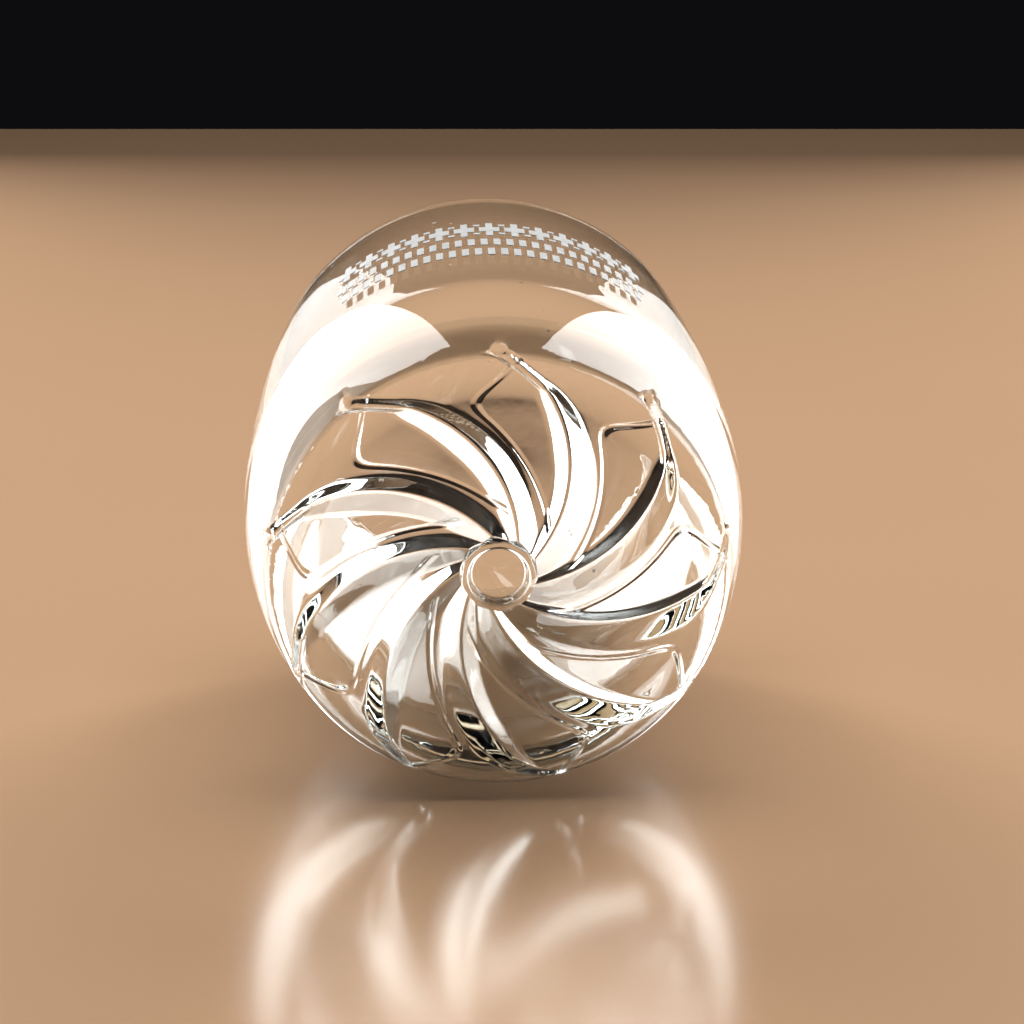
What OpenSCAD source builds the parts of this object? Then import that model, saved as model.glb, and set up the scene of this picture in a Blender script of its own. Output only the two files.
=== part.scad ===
// Heavy-based whisky tumbler in clear pressed glass. Its barrel-shaped wall is smooth, and nine
// curved V-grooves sweep round the underside like a pinwheel, from the heel to a small sunken button.
// A white enamel border is printed on one side of the wall, above its middle.
// Millimetres. The glass stands on the XY plane with its axis on Z, and the border faces -Y.

/* [Glass] */
// Height from the resting plane to the top of the lip
glass_h = 88; // [84:1:94]
// Widest outside diameter, at the belly
belly_d = 85; // [82:1:90]
// Height of the widest point above the resting plane
belly_z = 36; // [32:1:40]
// Radius of the wall's curve above the belly
upper_curve = 500; // [400:20:700]
// Radius of the wall's curve below the belly
lower_curve = 110; // [100:5:130]
// Radius of the rounded heel between the wall and the underside
heel_r = 7; // [6.5:0.5:7.5]
// Smallest thickness of the wall, at the belly
wall_t = 3; // [2.4:0.2:3.6]

/* [Cavity] */
// Height of the cavity floor above the resting plane, on the axis
floor_z = 16; // [14:0.5:20]
// Radius of the floor's dished curve
floor_curve = 120; // [90:10:200]
// Radius of the corner between the cavity's floor and its wall
corner_r = 14; // [10:1:18]
// Radius of the inner wall's long curve
inner_curve = 380; // [340:10:460]
// Height of the cavity's widest point
inner_belly_z = 50; // [46:1:54]

/* [Underside] */
// Inner radius of the flat land that the glass stands on
land_inner_r = 25; // [24:0.5:26]
// Height that the underside rises to, at the edge of the button
dish_h = 2.4; // [2.2:0.1:2.6]
// Diameter of the button's mouth
button_d = 10; // [9.4:0.2:10.6]
// Depth of the button below its mouth
button_depth = 1.6; // [1.4:0.1:2]
// Narrowing of the button's sloping side, on the radius
button_slope = 0.55; // [0.3:0.05:0.8]

/* [Swirl] */
// Number of curved grooves
groove_count = 9; // [6:1:9]
// Angle between each wall of a groove and the resting plane, in degrees
groove_slope = 45; // [44:1:48]
// Height of a groove's crest, straight above the middle of its tilted curve
groove_z = 1.2; // [1.1:0.1:1.4]
// Climb of each groove towards the button, in degrees
groove_tilt = 7; // [6.5:0.5:7.5]
// Radius of each groove's curve in plan
groove_curve = 27; // [26.6:0.2:27.4]
// Distance from the axis of the glass to the centre of each groove's curve
groove_offset = 24.2; // [23.8:0.2:24.6]
// Turn of the first groove's centre about the axis, in degrees
groove_phase = -9.7; // [-20:0.1:20]
// Radius of the round channel that carries each groove up the heel
tip_r = 1.1; // [1:0.1:1.2]

/* [Printed border] */
// Height of the middle of the row of stepped lozenges
border_z = 59.5; // [59:0.5:66]
// Height of each lozenge
lozenge_h = 9; // [7:0.2:10]
// Width of each lozenge
lozenge_w = 3.6; // [2.4:0.2:3.8]
// Number of lozenges
lozenge_count = 13; // [7:2:17]
// Angle round the glass between neighbouring lozenges, in degrees
lozenge_pitch = 6; // [5.5:0.25:8]
// Height of the upright bars in the two rows under the lozenges
bar_h = 4; // [3:0.2:4.2]
// Gap between one row and the next
row_gap = 2.2; // [1.2:0.2:2.4]
// Thickness of the enamel
enamel_t = 0.15; // [0.1:0.01:0.3]

/* [Hidden] */

// Most that a round stretch of the section may stray from its true arc
arc_error = 0.02;
// Rounding of each groove's crest
crest_r = 0.3;
// Depth of the groove cutter under its crest, enough to leave the glass everywhere
cutter_h = 7;
// Direction in which each groove's curve starts, outside the heel, in degrees about its own centre
groove_start = 62;
// Each groove stops this far from the edge of the button
button_gap = 1.2;
// The channel up the heel: its two ends, as shares of the heel's radius out from the heel's centre,
// and how far its upper end lies inside the groove's curve
tip_start = 0.31;
tip_end = 0.91;
tip_hook = 2.2;

belly_r = belly_d / 2;
button_r = button_d / 2;
upper_centre = [belly_r - upper_curve, belly_z];
lower_centre = [belly_r - lower_curve, belly_z];
wall_centre = [belly_r - wall_t - inner_curve, inner_belly_z];
floor_centre = [0, floor_z + floor_curve];

// Radius, at height z, of a long curve that bulges away from the axis
function curve_r(centre, curve, z) = centre[0] + sqrt(pow(curve, 2) - pow(z - centre[1], 2));
// Half the wall's thickness at height z, above the belly
function half_wall(z) =
    (curve_r(upper_centre, upper_curve, z) - curve_r(wall_centre, inner_curve, z)) / 2;
// Direction from point a to point b, in degrees
function direction(a, b) = atan2(b[1] - a[1], b[0] - a[0]);
// The point at distance ra from a and rb from b, on the right of someone who goes from a to b
function meet(a, ra, b, rb) =
    let (d = norm(b - a), ahead = (b - a) / d, along = (ra * ra - rb * rb + d * d) / (2 * d))
    a + along * ahead + sqrt(ra * ra - along * along) * [ahead[1], -ahead[0]];
// Points along an arc, close enough together to keep within arc_error
function arc(centre, r, from, to) =
    let (steps = ceil(abs(to - from) / (2 * acos(1 - arc_error / r))))
    [for (i = [0 : steps]) let (a = from + (to - from) * i / steps) centre + r * [cos(a), sin(a)]];

// The heel's arc touches the resting plane and the wall's lower curve
heel_centre = [
    lower_centre[0] + sqrt(pow(lower_curve - heel_r, 2) - pow(belly_z - heel_r, 2)),
    heel_r
];
heel_angle = direction(lower_centre, heel_centre);
// Direction, about a groove's own centre, of the point at distance r from the axis of the glass and
// distance hook inside the groove's curve
function groove_turn(r, hook = 0) =
    let (curve = groove_curve - hook)
    acos((r * r - pow(groove_offset, 2) - pow(curve, 2)) / (2 * groove_offset * curve));
// Such a point on the surface of the heel, a share of the heel's radius out from the heel's centre
function on_heel(share, hook = 0) =
    let (r = heel_centre[0] + share * heel_r, turn = groove_turn(r, hook), curve = groove_curve - hook)
    [groove_offset + curve * cos(turn), curve * sin(turn), heel_r * (1 - sqrt(1 - share * share))];
// The cavity's corner touches its wall and its floor
corner_centre = meet(wall_centre, inner_curve - corner_r, floor_centre, floor_curve - corner_r);
corner_wall_angle = direction(wall_centre, corner_centre);
corner_floor_angle = direction(floor_centre, corner_centre);
// The lip is a half circle as wide as the wall is there
lip_z = glass_h - half_wall(glass_h - half_wall(glass_h));
lip_r = half_wall(lip_z);
lip_centre = [curve_r(wall_centre, inner_curve, lip_z) + lip_r, lip_z];
lip_outer_angle = direction(upper_centre, lip_centre + [lip_r, 0]);
lip_inner_angle = direction(wall_centre, lip_centre - [lip_r, 0]);

// Half section of the glass, from the middle of the underside round the outside to the cavity's floor
module glass_section() {
    polygon(concat(
        [
            [0, dish_h + button_depth],
            [button_r - button_slope, dish_h + button_depth],
            [button_r, dish_h],
            [land_inner_r, 0]
        ],
        arc(heel_centre, heel_r, -90, heel_angle),
        arc(lower_centre, lower_curve, heel_angle, 0),
        arc(upper_centre, upper_curve, 0, lip_outer_angle),
        arc(lip_centre, lip_r, 0, 180),
        arc(wall_centre, inner_curve, lip_inner_angle, corner_wall_angle),
        arc(corner_centre, corner_r, corner_wall_angle, corner_floor_angle),
        arc(floor_centre, floor_curve, corner_floor_angle, -90)
    ));
}

// Section of the groove cutter: a wedge that points up, with a rounded crest
module groove_wedge() {
    crest = [groove_curve, -crest_r];
    foot = (cutter_h - crest_r) / tan(groove_slope);
    polygon(concat(
        [[groove_curve - foot, -cutter_h]],
        arc(crest, crest_r, 90 + groove_slope, 90 - groove_slope),
        [[groove_curve + foot, -cutter_h]]
    ));
}

// One groove's cutter: a curved wedge, tilted so that it climbs towards the button
module groove_cutter() {
    groove_end = groove_turn(button_r + button_gap);
    translate([groove_offset, 0, groove_z])
        rotate([0, groove_tilt, 0])
            rotate_extrude(angle = groove_end - groove_start, start = groove_start, $fn = 180)
                groove_wedge();
}

// The channel that carries one groove up the heel: a straight bar with a ball on its upper end
module tip_cutter() {
    foot = on_heel(tip_start);
    head = on_heel(tip_end, tip_hook);
    bar = head - foot;
    translate(foot)
        rotate([0, acos(bar[2] / norm(bar)), atan2(bar[1], bar[0])])
            cylinder(norm(bar), tip_r, tip_r, $fn = 48);
    translate(head) sphere(tip_r, $fn = 48);
}

// Every groove, evenly spaced round the axis
module swirl() {
    for (i = [0 : groove_count - 1])
        rotate([0, 0, groove_phase + i * 360 / groove_count]) {
            groove_cutter();
            tip_cutter();
        }
}

// The tumbler itself: one turned solid with the swirl cut into its underside
module glass() {
    color("aliceblue") difference() {
        rotate_extrude($fn = 180) glass_section();
        swirl();
    }
}

// A four-sided patch of enamel on the wall: its middle's angle round the glass, its width, and two heights
module enamel_patch(angle, width, low, high) {
    turn = width / belly_r * 180 / PI;
    low_r = curve_r(upper_centre, upper_curve, low);
    high_r = curve_r(upper_centre, upper_curve, high);
    rotate_extrude(angle = turn, start = angle - 90 - turn / 2, $fn = 360)
        polygon([[low_r, low], [low_r + enamel_t, low], [high_r + enamel_t, high], [high_r, high]]);
}

// A lozenge drawn in steps: a wide, low patch across a narrow, tall one
module stepped_lozenge(angle) {
    step_h = lozenge_h / 3;
    enamel_patch(angle, lozenge_w, border_z - step_h / 2, border_z + step_h / 2);
    enamel_patch(angle, lozenge_w / 3, border_z - lozenge_h / 2, border_z + lozenge_h / 2);
}

// A row of upright bars hanging from height top
module bar_row(top, count, pitch, width) {
    half_count = (count - 1) / 2;
    for (i = [-half_count : half_count])
        enamel_patch(i * pitch, width, top - bar_h, top);
}

// White enamel border: lozenges with small squares between them, over two rows of upright bars
module printed_border() {
    step_h = lozenge_h / 3;
    square_w = lozenge_h / 8;
    half_count = (lozenge_count - 1) / 2;
    upper_top = border_z - lozenge_h / 2 - row_gap;
    lower_top = upper_top - bar_h - row_gap;
    color("white") {
        for (i = [-half_count : half_count])
            stepped_lozenge(i * lozenge_pitch);
        for (i = [0.5 - half_count : half_count - 0.5], middle = [border_z - step_h, border_z + step_h])
            enamel_patch(i * lozenge_pitch, square_w, middle - square_w / 2, middle + square_w / 2);
        bar_row(upper_top, 2 * lozenge_count, lozenge_pitch / 2, lozenge_w / 3);
        bar_row(lower_top, 2 * lozenge_count - 1, lozenge_pitch / 2, lozenge_w / 3);
    }
}

glass();
printed_border();
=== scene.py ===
"""Looks for the whisky tumbler: clear pressed glass with a pinwheel underside and a white printed border.

Sizes are in millimetres, as in the CAD, until a mesh or a light is made; Blender gets metres.
"""
import math

import bpy
import numpy as np
from mathutils import Matrix, Vector


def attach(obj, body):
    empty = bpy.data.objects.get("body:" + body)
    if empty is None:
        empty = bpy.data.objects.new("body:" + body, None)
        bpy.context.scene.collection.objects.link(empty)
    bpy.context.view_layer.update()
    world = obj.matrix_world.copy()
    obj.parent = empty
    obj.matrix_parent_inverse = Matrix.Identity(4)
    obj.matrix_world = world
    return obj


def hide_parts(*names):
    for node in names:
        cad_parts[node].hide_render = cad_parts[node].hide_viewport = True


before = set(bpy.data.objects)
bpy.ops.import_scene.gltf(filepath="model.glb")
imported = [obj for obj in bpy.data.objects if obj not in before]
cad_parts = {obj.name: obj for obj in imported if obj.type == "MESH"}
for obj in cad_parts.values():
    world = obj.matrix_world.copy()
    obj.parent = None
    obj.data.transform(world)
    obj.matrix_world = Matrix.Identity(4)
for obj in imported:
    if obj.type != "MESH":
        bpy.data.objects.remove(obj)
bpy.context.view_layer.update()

MM = 0.001

# ---- Shape of the glass, as designed in the CAD ----
GLASS_H = 88.0
BELLY_R = 42.5
BELLY_Z = 36.0
UPPER_CURVE = 500.0
LOWER_CURVE = 110.0
HEEL_R = 7.0
WALL_T = 3.0
FLOOR_Z = 16.0
FLOOR_CURVE = 120.0
CORNER_R = 14.0
INNER_CURVE = 380.0
INNER_BELLY_Z = 50.0
LAND_INNER_R = 25.0
DISH_H = 2.4
BUTTON_R = 5.0
BUTTON_DEPTH = 1.6
BUTTON_SLOPE = 0.55
GROOVE_COUNT = 9
GROOVE_SLOPE = math.radians(45)
GROOVE_Z = 1.2
GROOVE_TILT = math.radians(7)
CREST_R = 0.3
GROOVE_CURVE = 27.0
GROOVE_OFFSET = 24.2
GROOVE_PHASE = math.radians(-9.7)
GROOVE_PITCH = 2 * math.pi / GROOVE_COUNT
BUTTON_GAP = 1.2
# The channel up the heel: its radius, its two ends as shares of the heel's radius, and how far it hooks in
TIP_R = 1.1
TIP_START = 0.31
TIP_END = 0.91
TIP_HOOK = 2.2

# ---- Finish that the CAD leaves out: fire-polished edges ----
# Each edge is rounded where its two sides are less than this apart in height
GROOVE_EDGE = 0.5
DISH_EDGE = 0.4
BUTTON_EDGE = 0.6
# Fall of a groove's roof past its inner end, for each millimetre towards the axis
END_SLOPE = 8.0

# ---- Thin raised line that bounds each petal's flat facet ----
# Its distance outside the groove's curve, half its width, and its height
PETAL_LINE_AWAY = 5.2
PETAL_LINE_W = 0.65
PETAL_LINE_H = 0.25
# Distance from the axis to the facet's corner, and how softly the corner is rounded
PETAL_CORNER_R = 31.0
PETAL_CORNER_EDGE = 5.0

# ---- Mesh of the glass: its columns are closest over each groove ----
# Half the width that a groove's columns cover, and the most they may cover as a share of the pitch
GROOVE_HALF_W = 3.2
GROOVE_SHARE = 0.36
COLUMNS_IN_GROOVE = 28
COLUMNS_IN_PETAL = 18

# ---- Patterns in the materials: each scale is in features to the metre, each height in millimetres ----
FLOW_SCALE = 45.0
FLOW_H = 0.1
MOULD_SCALE = 320.0
MOULD_H = 0.04
PRINT_DOT_SCALE = 2600.0
PRINT_DOT_H = 0.02
PRINT_GLOSS_SCALE = 700.0
PRINT_WEAR_SCALE = 1500.0
SPECK_SCALE = 260.0
SPECK_PATCH_SCALE = 90.0
# How much the specks of dust grow inside a patch, and how much of the glass each one hides
SPECK_GROWTH = 0.35
SPECK_COVER = 0.55
# The floor's roughness, and how much its smears add
SMEAR_SCALE = 12.0
FLOOR_ROUGHNESS = 0.13
SMEAR_ROUGHNESS = 0.08

# ---- Refraction, and linear colours ----
GLASS_IOR = 1.52
GLASS_COLOUR = (0.985, 0.995, 0.99, 1)
DUST_COLOUR = (0.85, 0.84, 0.82, 1)
ENAMEL_COLOUR = (0.92, 0.92, 0.90, 1)
WORN_COLOUR = (0.72, 0.72, 0.70, 1)
FLOOR_COLOUR = (0.80, 0.49, 0.29, 1)
DARK_ROOM = (0.004, 0.004, 0.005, 1)


# ---------------------------------------------------------------- outline of the turned glass

def curve_r(centre, curve, z):
    """Radius at height z of a long curve that bulges away from the axis."""
    return centre[0] + np.sqrt(curve**2 - (z - centre[1]) ** 2)


def arc(centre, radius, start, end, count):
    """Points along an arc, ends included. Angles are in radians."""
    turn = np.linspace(start, end, count)
    return np.column_stack((centre[0] + radius * np.cos(turn), centre[1] + radius * np.sin(turn)))


def direction(a, b):
    """Direction from point a to point b, in radians."""
    return math.atan2(b[1] - a[1], b[0] - a[0])


def meet(a, radius_a, b, radius_b):
    """The point at those distances from a and b, on the right of someone who goes from a to b."""
    a, b = np.array(a), np.array(b)
    gap = np.linalg.norm(b - a)
    ahead = (b - a) / gap
    along = (radius_a**2 - radius_b**2 + gap**2) / (2 * gap)
    return a + along * ahead + math.sqrt(radius_a**2 - along**2) * np.array((ahead[1], -ahead[0]))


UPPER_CENTRE = (BELLY_R - UPPER_CURVE, BELLY_Z)
LOWER_CENTRE = (BELLY_R - LOWER_CURVE, BELLY_Z)
INNER_CENTRE = (BELLY_R - WALL_T - INNER_CURVE, INNER_BELLY_Z)
FLOOR_CENTRE = (0.0, FLOOR_Z + FLOOR_CURVE)
HEEL_CENTRE = (
    LOWER_CENTRE[0] + math.sqrt((LOWER_CURVE - HEEL_R) ** 2 - (BELLY_Z - HEEL_R) ** 2),
    HEEL_R,
)
HEEL_TOP_ANGLE = direction(LOWER_CENTRE, HEEL_CENTRE)
HEEL_TOP_R = HEEL_CENTRE[0] + HEEL_R * math.cos(HEEL_TOP_ANGLE)


def half_wall(z):
    """Half the wall's thickness at height z, above the belly."""
    return (curve_r(UPPER_CENTRE, UPPER_CURVE, z) - curve_r(INNER_CENTRE, INNER_CURVE, z)) / 2


def wall_outline():
    """Outside of the wall from the top of the heel to the lip, and the cavity down to its centre.

    Each stretch's first point is left out, because the stretch before it ends there.
    """
    lip_z = GLASS_H - half_wall(GLASS_H - half_wall(GLASS_H))
    lip_r = half_wall(lip_z)
    lip_centre = (curve_r(INNER_CENTRE, INNER_CURVE, lip_z) + lip_r, lip_z)
    corner = meet(INNER_CENTRE, INNER_CURVE - CORNER_R, FLOOR_CENTRE, FLOOR_CURVE - CORNER_R)
    corner_top = direction(INNER_CENTRE, corner)
    corner_foot = direction(FLOOR_CENTRE, corner)
    lip_outside = direction(UPPER_CENTRE, (lip_centre[0] + lip_r, lip_z))
    lip_inside = direction(INNER_CENTRE, (lip_centre[0] - lip_r, lip_z))
    stretches = [
        arc(LOWER_CENTRE, LOWER_CURVE, HEEL_TOP_ANGLE, 0, 15),
        arc(UPPER_CENTRE, UPPER_CURVE, 0, lip_outside, 17),
        arc(lip_centre, lip_r, 0, math.pi, 13),
        arc(INNER_CENTRE, INNER_CURVE, lip_inside, corner_top, 20),
        arc(corner, CORNER_R, corner_top, corner_foot, 16),
        arc(FLOOR_CENTRE, FLOOR_CURVE, corner_foot, -math.pi / 2, 18),
    ]
    return np.vstack([stretch[1:] for stretch in stretches])


# ---------------------------------------------------------------- underside

def smooth_max(a, b, edge):
    """The larger of two heights; the corner between them is rounded where they differ by less than edge."""
    near = np.maximum(edge - np.abs(a - b), 0) / edge
    return np.maximum(a, b) + near**2 * edge / 4


def turned_underside(r):
    """Height of the underside without its grooves: button, dish, land and heel."""
    past_land = np.clip(r - HEEL_CENTRE[0], 0, HEEL_R)
    heel = HEEL_CENTRE[1] - np.sqrt(HEEL_R**2 - past_land**2)
    dish = DISH_H * (LAND_INNER_R - r) / (LAND_INNER_R - BUTTON_R)
    side = DISH_H + (BUTTON_R - r) * BUTTON_DEPTH / BUTTON_SLOPE
    top = np.full_like(r, DISH_H + BUTTON_DEPTH)
    button = -smooth_max(-side, -top, BUTTON_EDGE)
    return smooth_max(smooth_max(heel, dish, DISH_EDGE), button, BUTTON_EDGE)


def groove_angle(r, away):
    """Angle, from the groove's own centre, of the point at radius r that lies away from its centre line."""
    cosine = (r**2 + GROOVE_OFFSET**2 - (GROOVE_CURVE + away) ** 2) / (2 * GROOVE_OFFSET * r)
    return np.arccos(np.clip(cosine, -1, 1))


def from_groove_centre(x, y, number):
    """A place seen from the centre of one groove's curve: outwards from the axis, and across that."""
    turn = GROOVE_PHASE + number * GROOVE_PITCH
    along = x * math.cos(turn) + y * math.sin(turn) - GROOVE_OFFSET
    across = y * math.cos(turn) - x * math.sin(turn)
    return along, across


def groove_top(x, y, number):
    """Height of one groove's roof above the resting plane; far below it on the curve's other half."""
    along, across = from_groove_centre(x, y, number)
    away = np.hypot(along, across) - GROOVE_CURVE
    crest = GROOVE_Z - along * math.tan(GROOVE_TILT)
    side = math.tan(GROOVE_SLOPE) * (np.hypot(away, CREST_R) - CREST_R)
    past_end = END_SLOPE * np.maximum(BUTTON_R + BUTTON_GAP - np.hypot(x, y), 0)
    return np.where(across > 0, crest - side - past_end, -GLASS_H)


def heel_angle(r):
    """How far round the heel the point at radius r is: 0 where the land ends."""
    return np.arcsin(np.clip((r - HEEL_CENTRE[0]) / HEEL_R, 0, 1))


def tip_depth(x, y, number):
    """Depth, square to the heel, of the round-ended channel in which one groove ends."""
    along, across = from_groove_centre(x, y, number)
    climb = heel_angle(np.hypot(x, y)) * HEEL_R
    low, high = math.asin(TIP_START) * HEEL_R, math.asin(TIP_END) * HEEL_R
    hook = TIP_HOOK * np.clip((climb - low) / (high - low), 0, 1)
    away = np.hypot(along, across) - GROOVE_CURVE + hook
    past_end = np.maximum(climb - high, 0)
    before = np.maximum(low - climb, 0)
    depth = np.sqrt(np.maximum(TIP_R**2 - away**2 - past_end**2, 0)) - before
    return np.where(across > 0, np.maximum(depth, 0), 0)


def ring_radii():
    """Radii of the underside's rings, from the middle out; closest where it curves most.

    The stretches are the button's floor, its side, the grooves' inner ends, the dish and the land. Each
    has its first ring, its last ring and its count. The heel's rings follow its curve.
    """
    button_floor_r = BUTTON_R - BUTTON_SLOPE
    groove_end_r = BUTTON_R + BUTTON_GAP
    stretches = (
        (0, button_floor_r - 0.35, 8),
        (button_floor_r - 0.2, BUTTON_R + 0.4, 12),
        (BUTTON_R + 0.5, groove_end_r + 0.2, 8),
        (groove_end_r + 0.5, LAND_INNER_R - 1, 58),
        (LAND_INNER_R - 0.7, HEEL_CENTRE[0], 20),
    )
    radii = [np.linspace(first, last, count) for first, last, count in stretches]
    heel_turn = np.linspace(-math.pi / 2, HEEL_TOP_ANGLE, 34)[1:]
    radii.append(HEEL_CENTRE[0] + HEEL_R * np.cos(heel_turn))
    return np.concatenate(radii)[1:]


def column_angles(r):
    """Angles of the mesh's columns at radius r. They follow the grooves, closest together at their edges."""
    held_r = min(max(r, BUTTON_R), HEEL_TOP_R)
    half = min(GROOVE_HALF_W, GROOVE_SHARE * held_r * GROOVE_PITCH)
    across = half * np.linspace(-1, 1, COLUMNS_IN_GROOVE + 1)
    inside = groove_angle(held_r, across)
    share = np.linspace(0, 1, COLUMNS_IN_PETAL + 1)[1:-1]
    between = inside[-1] + (inside[0] + GROOVE_PITCH - inside[-1]) * share
    one = np.concatenate((inside, between))
    return np.concatenate([GROOVE_PHASE + i * GROOVE_PITCH + one for i in range(GROOVE_COUNT)])


def underside_rings():
    """Points of the underside, ring by ring from the middle out, with the grooves cut in."""
    rings = []
    for r in ring_radii():
        turn = column_angles(r)
        x, y = r * np.cos(turn), r * np.sin(turn)
        plain = turned_underside(np.full_like(x, r))
        grooved = plain
        for number in range(GROOVE_COUNT):
            grooved = smooth_max(grooved, groove_top(x, y, number), GROOVE_EDGE)
        tip = np.max([tip_depth(x, y, number) for number in range(GROOVE_COUNT)], axis=0)
        lean = heel_angle(r)
        inwards = 1 - tip * math.sin(lean) / max(r, TIP_R)
        z = np.maximum(grooved, plain + tip * math.cos(lean))
        rings.append(np.column_stack((x * inwards, y * inwards, z)))
    return rings


def wall_rings():
    """Points of the wall, lip and cavity, ring by ring."""
    turn = column_angles(HEEL_TOP_R)
    return [
        np.column_stack((r * np.cos(turn), r * np.sin(turn), np.full_like(turn, z)))
        for r, z in wall_outline()[:-1]
    ]


def closed_rings(rings, first_pole, last_pole):
    """Vertices and faces of a closed skin through rings of equal count, with a point at each end."""
    count = len(rings[0])
    vertices = np.vstack([first_pole] + rings + [last_pole])
    here = np.arange(count)
    ahead = (here + 1) % count
    faces = [(0, 1 + b, 1 + a) for a, b in zip(here, ahead)]
    for n in range(len(rings) - 1):
        low, high = 1 + n * count, 1 + (n + 1) * count
        faces += [(low + a, low + b, high + b, high + a) for a, b in zip(here, ahead)]
    last, top = 1 + (len(rings) - 1) * count, len(vertices) - 1
    faces += [(last + a, last + b, top) for a, b in zip(here, ahead)]
    return vertices, faces


def mesh_object(name, vertices, faces, material):
    """A smooth-shaded mesh object from points in millimetres."""
    mesh = bpy.data.meshes.new(name)
    mesh.from_pydata((np.asarray(vertices) * MM).tolist(), [], faces)
    mesh.polygons.foreach_set("use_smooth", [True] * len(mesh.polygons))
    mesh.materials.append(material)
    mesh.update()
    piece = bpy.data.objects.new(name, mesh)
    bpy.context.scene.collection.objects.link(piece)
    return piece


def build_glass(material):
    """The glass as one closed skin, standing for the CAD node."""
    rings = underside_rings() + wall_rings()
    button_middle = (0, 0, DISH_H + BUTTON_DEPTH)
    floor_middle = (0, 0, FLOOR_Z)
    vertices, faces = closed_rings(rings, [button_middle], [floor_middle])
    piece = mesh_object("tumbler_glass", vertices, faces, material)
    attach(piece, "root")
    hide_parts("glass")


# ---------------------------------------------------------------- materials

def new_material(name):
    """An empty node material, with one function that adds nodes and one that adds math nodes."""
    material = bpy.data.materials.new(name)
    material.use_nodes = True
    tree = material.node_tree
    tree.nodes.clear()

    def add(kind, **inputs):
        node = tree.nodes.new(kind)
        for key, value in inputs.items():
            plug(node.inputs[key.replace("_", " ")], value)
        return node

    def plug(target, value):
        if isinstance(value, bpy.types.NodeSocket):
            tree.links.new(value, target)
        else:
            target.default_value = value

    def maths(operation, *values):
        node = tree.nodes.new("ShaderNodeMath")
        node.operation = operation
        for target, value in zip(node.inputs, values):
            plug(target, value)
        return node.outputs[0]

    return material, tree, add, maths


def noise(add, scale, detail, where):
    """Soft noise between about 0.3 and 0.7, with scale features to the metre."""
    node = add("ShaderNodeTexNoise", Vector=where, Scale=scale, Detail=detail)
    return node.outputs[0]


def length(maths, x, y):
    """Length of the vector (x, y)."""
    return maths("SQRT", maths("ADD", maths("MULTIPLY", x, x), maths("MULTIPLY", y, y)))


def within_petal(maths, x, y):
    """The place turned back to the first petal: towards the centre of its groove's curve, and across that."""
    r = length(maths, x, y)
    cosine = maths(
        "DIVIDE",
        maths("ADD", maths("MULTIPLY", r, r), GROOVE_OFFSET**2 - GROOVE_CURVE**2),
        maths("MULTIPLY", r, 2 * GROOVE_OFFSET),
    )
    groove = maths("ARCCOSINE", cosine)
    turn = maths("SUBTRACT", maths("ARCTAN2", y, x), GROOVE_PHASE)
    past_groove = maths("FLOORED_MODULO", maths("SUBTRACT", turn, groove), GROOVE_PITCH)
    first = maths("ADD", past_groove, groove)
    return maths("MULTIPLY", r, maths("COSINE", first)), maths("MULTIPLY", r, maths("SINE", first))


def past_tip_line(maths, along, across):
    """How far a place lies past the straight line from the facet's corner to the next groove's tip."""
    corner_turn = float(groove_angle(PETAL_CORNER_R, PETAL_LINE_AWAY))
    tip_r = HEEL_CENTRE[0] + TIP_END * HEEL_R
    tip_turn = float(groove_angle(tip_r, 0.0)) + GROOVE_PITCH
    corner = Vector((math.cos(corner_turn), math.sin(corner_turn))) * PETAL_CORNER_R
    tip = Vector((math.cos(tip_turn), math.sin(tip_turn))) * tip_r
    heading = (tip - corner).normalized()
    return maths(
        "SUBTRACT",
        maths("MULTIPLY", maths("SUBTRACT", along, corner.x), heading.y),
        maths("MULTIPLY", maths("SUBTRACT", across, corner.y), heading.x),
    )


def petal_line(add, maths, where):
    """1 on the raised line that bounds each petal's facet, 0 away from it. Works in millimetres."""
    parts = add("ShaderNodeSeparateXYZ", Vector=where)
    x, y, z = [maths("DIVIDE", parts.outputs[axis], MM) for axis in "XYZ"]
    along, across = within_petal(maths, x, y)
    reach = length(maths, maths("SUBTRACT", along, GROOVE_OFFSET), across)
    beside = maths("SUBTRACT", GROOVE_CURVE + PETAL_LINE_AWAY, reach)
    outside = maths("SMOOTH_MAX", beside, past_tip_line(maths, along, across), PETAL_CORNER_EDGE)
    near = maths("SUBTRACT", 1.0, maths("DIVIDE", maths("ABSOLUTE", outside), PETAL_LINE_W))
    line = maths("MAXIMUM", near, 0.0)
    smooth = maths("MULTIPLY", maths("MULTIPLY", line, line), maths("MULTIPLY_ADD", line, -2.0, 3.0))
    underneath = maths("LESS_THAN", z, HEEL_R / 2)
    return maths("MULTIPLY", smooth, underneath)


def glass_relief(add, maths, where):
    """Normal of the glass with its slow flow ripples, fine mould ripples underneath, and petal lines."""
    flow = add("ShaderNodeBump", Height=noise(add, FLOW_SCALE, 1.0, where), Distance=FLOW_H * MM)
    height = add("ShaderNodeSeparateXYZ", Vector=where).outputs["Z"]
    grain = maths("MULTIPLY", noise(add, MOULD_SCALE, 2.0, where), maths("LESS_THAN", height, HEEL_R * MM))
    mould = add("ShaderNodeBump", Height=grain, Distance=MOULD_H * MM, Normal=flow.outputs[0])
    line = add(
        "ShaderNodeBump", Height=petal_line(add, maths, where), Distance=PETAL_LINE_H * MM,
        Normal=mould.outputs[0])
    return line.outputs[0]


def dust_cover(add, maths, where):
    """How much of the glass dust hides: a few small specks, in patches."""
    specks = add("ShaderNodeTexVoronoi", Vector=where, Scale=SPECK_SCALE)
    patch = maths("SUBTRACT", noise(add, SPECK_PATCH_SCALE, 0.0, where), 0.5)
    speck = maths("LESS_THAN", specks.outputs["Distance"], maths("MULTIPLY", patch, SPECK_GROWTH))
    return maths("MULTIPLY", speck, SPECK_COVER)


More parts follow.
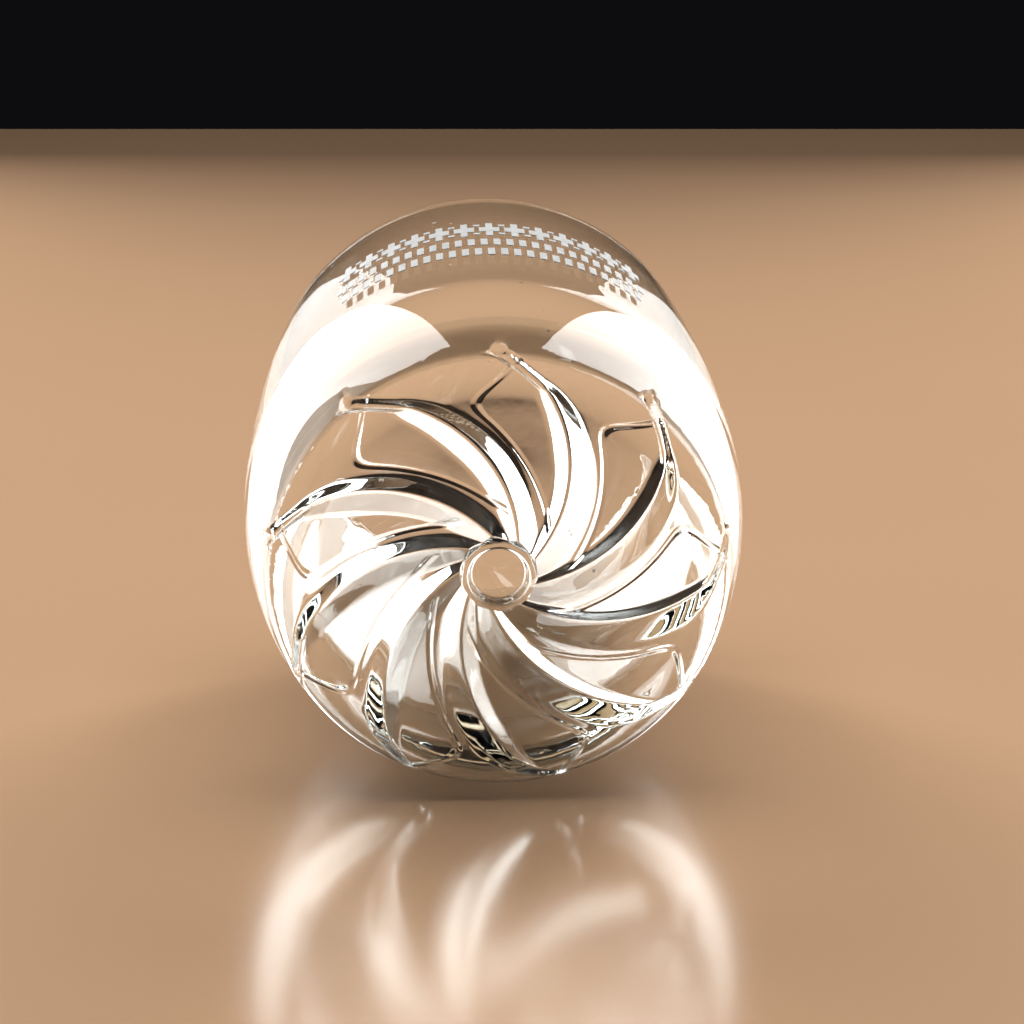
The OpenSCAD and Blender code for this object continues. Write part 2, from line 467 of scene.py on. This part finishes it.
def clear_glass():
    """Clear, colourless pressed glass with a little dust on it."""
    material, tree, add, maths = new_material("pressed_glass")
    where = add("ShaderNodeTexCoord").outputs["Object"]
    glass = add(
        "ShaderNodeBsdfGlass", Color=GLASS_COLOUR, Roughness=0.0, IOR=GLASS_IOR,
        Normal=glass_relief(add, maths, where))
    dust = add("ShaderNodeBsdfDiffuse", Color=DUST_COLOUR)
    surface = add("ShaderNodeMixShader", Fac=dust_cover(add, maths, where))
    tree.links.new(glass.outputs[0], surface.inputs[1])
    tree.links.new(dust.outputs[0], surface.inputs[2])
    add("ShaderNodeOutputMaterial", Surface=surface.outputs[0])
    return material


def white_enamel():
    """White screen-printed enamel: a weave of fine printed dots, uneven gloss and faint wear."""
    material, tree, add, maths = new_material("screen_enamel")
    where = add("ShaderNodeTexCoord").outputs["Object"]
    dots = add("ShaderNodeTexVoronoi", Vector=where, Scale=PRINT_DOT_SCALE)
    relief = add("ShaderNodeBump", Height=dots.outputs["Distance"], Distance=PRINT_DOT_H * MM)
    patchy = noise(add, PRINT_GLOSS_SCALE, 3.0, where)
    gloss = add("ShaderNodeMapRange", Value=patchy, From_Min=0.3, From_Max=0.7, To_Min=0.25, To_Max=0.5)
    spots = noise(add, PRINT_WEAR_SCALE, 4.0, where)
    wear = add("ShaderNodeMapRange", Value=spots, From_Min=0.25, From_Max=0.42)
    tone = add("ShaderNodeMix", Factor=wear.outputs[0])
    tone.data_type = "RGBA"
    tone.inputs[6].default_value = WORN_COLOUR
    tone.inputs[7].default_value = ENAMEL_COLOUR
    enamel = add(
        "ShaderNodeBsdfPrincipled", Base_Color=tone.outputs[2], Roughness=gloss.outputs[0],
        Normal=relief.outputs[0])
    add("ShaderNodeOutputMaterial", Surface=enamel.outputs[0])
    return material


def camera_below(add, maths):
    """1 if the camera is lower than the standing floor, otherwise 0."""
    place = add("ShaderNodeVectorTransform", Vector=(0, 0, 0))
    place.vector_type = "POINT"
    place.convert_from = "CAMERA"
    place.convert_to = "WORLD"
    parts = add("ShaderNodeSeparateXYZ", Vector=place.outputs[0])
    return maths("LESS_THAN", parts.outputs["Z"], 0.0)


def floor_material(name, seen_from_below):
    """Pale floor that is there only for a camera on the right side of the standing floor."""
    material, tree, add, maths = new_material(name)
    where = add("ShaderNodeTexCoord").outputs["Object"]
    smears = noise(add, SMEAR_SCALE, 3.0, where)
    gloss = maths("MULTIPLY_ADD", smears, SMEAR_ROUGHNESS, FLOOR_ROUGHNESS)
    floor = add("ShaderNodeBsdfPrincipled", Base_Color=FLOOR_COLOUR, Roughness=gloss)
    gone = add("ShaderNodeBsdfTransparent")
    mix = add("ShaderNodeMixShader", Fac=camera_below(add, maths))
    shown, hidden = (2, 1) if seen_from_below else (1, 2)
    tree.links.new(floor.outputs[0], mix.inputs[shown])
    tree.links.new(gone.outputs[0], mix.inputs[hidden])
    add("ShaderNodeOutputMaterial", Surface=mix.outputs[0])
    return material


# ---------------------------------------------------------------- studio

# In the photograph the glass lies on its side: its axis dips by LEAN and turns by YAW.
LEAN = math.radians(6)
YAW = math.radians(2)
LYING_UP = Vector((0, -math.cos(LEAN), math.sin(LEAN)))
LYING_RIGHT = Vector((math.cos(YAW), -math.sin(YAW) * math.sin(LEAN), -math.sin(YAW) * math.cos(LEAN)))
LYING_AWAY = LYING_UP.cross(LYING_RIGHT)
# Distance from the centre of the base down to the table it lies over
TABLE_DROP = 39.1

# Camera: distance from the centre of the base, its height as an angle, its downward tilt, shift and lens
CAMERA_DISTANCE = 544.0
CAMERA_ELEVATION = math.radians(16.14)
CAMERA_TILT = math.radians(14.94)
CAMERA_RIGHT = 2.06
CAMERA_LENS = 118.2

# Softboxes: distance right or left, distance away, size, and power in watts
SOFTBOX_SIDE = 480
SOFTBOX_AWAY = 700
SOFTBOX_W = 420
SOFTBOX_H = 1030
SOFTBOX_POWER = 8.0
# Fill over the floor
FILL_AWAY = 80
FILL_UP = 1100
FILL_W = 1200
FILL_DEPTH = 900
FILL_POWER = 7

# Floors: half the width of each, the lying one's near and far edges, and the gap under the glass
STANDING_REACH = 3000
LYING_REACH = 2000
LYING_NEAR = -1500
LYING_FAR = 760
FLOOR_GAP = 0.02


def lying(right, away, up):
    """A point given in the photograph's own directions, from the centre of the base, in the CAD's frame."""
    return (LYING_RIGHT * right + LYING_AWAY * away + LYING_UP * up) * MM


def add_camera():
    """Camera at the photograph's place: low, in front of the base of the lying glass."""
    camera = bpy.data.cameras.new("camera")
    camera.lens = CAMERA_LENS
    camera.sensor_width = 36
    camera.clip_start, camera.clip_end = 0.01, 20
    place = bpy.data.objects.new("camera", camera)
    bpy.context.scene.collection.objects.link(place)
    forward = LYING_AWAY * math.cos(CAMERA_TILT) - LYING_UP * math.sin(CAMERA_TILT)
    above = LYING_RIGHT.cross(forward)
    turn = Matrix((LYING_RIGHT, above, -forward)).transposed().to_4x4()
    near = CAMERA_DISTANCE * math.cos(CAMERA_ELEVATION)
    spot = lying(CAMERA_RIGHT, -near, CAMERA_DISTANCE * math.sin(CAMERA_ELEVATION))
    place.matrix_world = Matrix.Translation(spot) @ turn
    bpy.context.scene.camera = place


def add_lamp(name, spot, aim, width, height, power):
    """A large soft lamp that looks from spot to aim, its height along the lying table's up."""
    lamp = bpy.data.lights.new(name, "AREA")
    lamp.shape = "RECTANGLE"
    lamp.size, lamp.size_y = width * MM, height * MM
    lamp.energy = power
    box = bpy.data.objects.new(name, lamp)
    bpy.context.scene.collection.objects.link(box)
    ahead = (aim - spot).normalized()
    side = ahead.cross(LYING_UP if abs(ahead.dot(LYING_UP)) < 0.9 else LYING_AWAY).normalized()
    turn = Matrix((side, side.cross(ahead), -ahead)).transposed().to_4x4()
    box.matrix_world = Matrix.Translation(spot) @ turn
    box.visible_camera = False
    return box


def plane(name, corners, material):
    """A flat stage piece through four corners, in metres."""
    mesh = bpy.data.meshes.new(name)
    mesh.from_pydata([tuple(corner) for corner in corners], [], [(0, 1, 2, 3)])
    mesh.materials.append(material)
    piece = bpy.data.objects.new(name, mesh)
    bpy.context.scene.collection.objects.link(piece)


def add_floors():
    """The floor the glass stands on, and the one it lies on in the photograph."""
    square = ((-1, -1), (1, -1), (1, 1), (-1, 1))
    reach = STANDING_REACH * MM
    standing = [(x * reach, y * reach, -FLOOR_GAP * MM) for x, y in square]
    plane("floor_standing", standing, floor_material("floor_standing", False))
    edges = {-1: LYING_NEAR, 1: LYING_FAR}
    laid = [lying(x * LYING_REACH, edges[y], -TABLE_DROP - FLOOR_GAP) for x, y in square]
    plane("floor_lying", laid, floor_material("floor_lying", True))


def add_lights():
    """Two tall softboxes behind the glass, left and right of the picture, and a fill over the floor.

    The fill lights only the floor: it isn't seen in the glass, whose surroundings stay dark.
    """
    middle = SOFTBOX_H / 2 - TABLE_DROP
    for right, name in ((-SOFTBOX_SIDE, "softbox_left"), (SOFTBOX_SIDE, "softbox_right")):
        spot, aim = lying(right, SOFTBOX_AWAY, middle), lying(right, 0, middle)
        add_lamp(name, spot, aim, SOFTBOX_W, SOFTBOX_H, SOFTBOX_POWER)
    spot, aim = lying(0, FILL_AWAY, FILL_UP), lying(0, FILL_AWAY, 0)
    fill = add_lamp("fill", spot, aim, FILL_W, FILL_DEPTH, FILL_POWER)
    fill.visible_glossy = False
    fill.visible_transmission = False
    world = bpy.data.worlds.new("studio")
    world.use_nodes = True
    world.node_tree.nodes["Background"].inputs["Color"].default_value = DARK_ROOM
    bpy.context.scene.world = world


def set_light_paths():
    """Enough bounces for light to cross the thick glass several times, and plain colours."""
    scene = bpy.context.scene
    scene.cycles.max_bounces = 24
    scene.cycles.glossy_bounces = 16
    scene.cycles.transmission_bounces = 24
    scene.cycles.blur_glossy = 0.3
    scene.view_settings.view_transform = "Standard"


build_glass(clear_glass())
border_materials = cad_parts["printed_border"].data.materials
border_materials.clear()
border_materials.append(white_enamel())
add_camera()
add_floors()
add_lights()
set_light_paths()
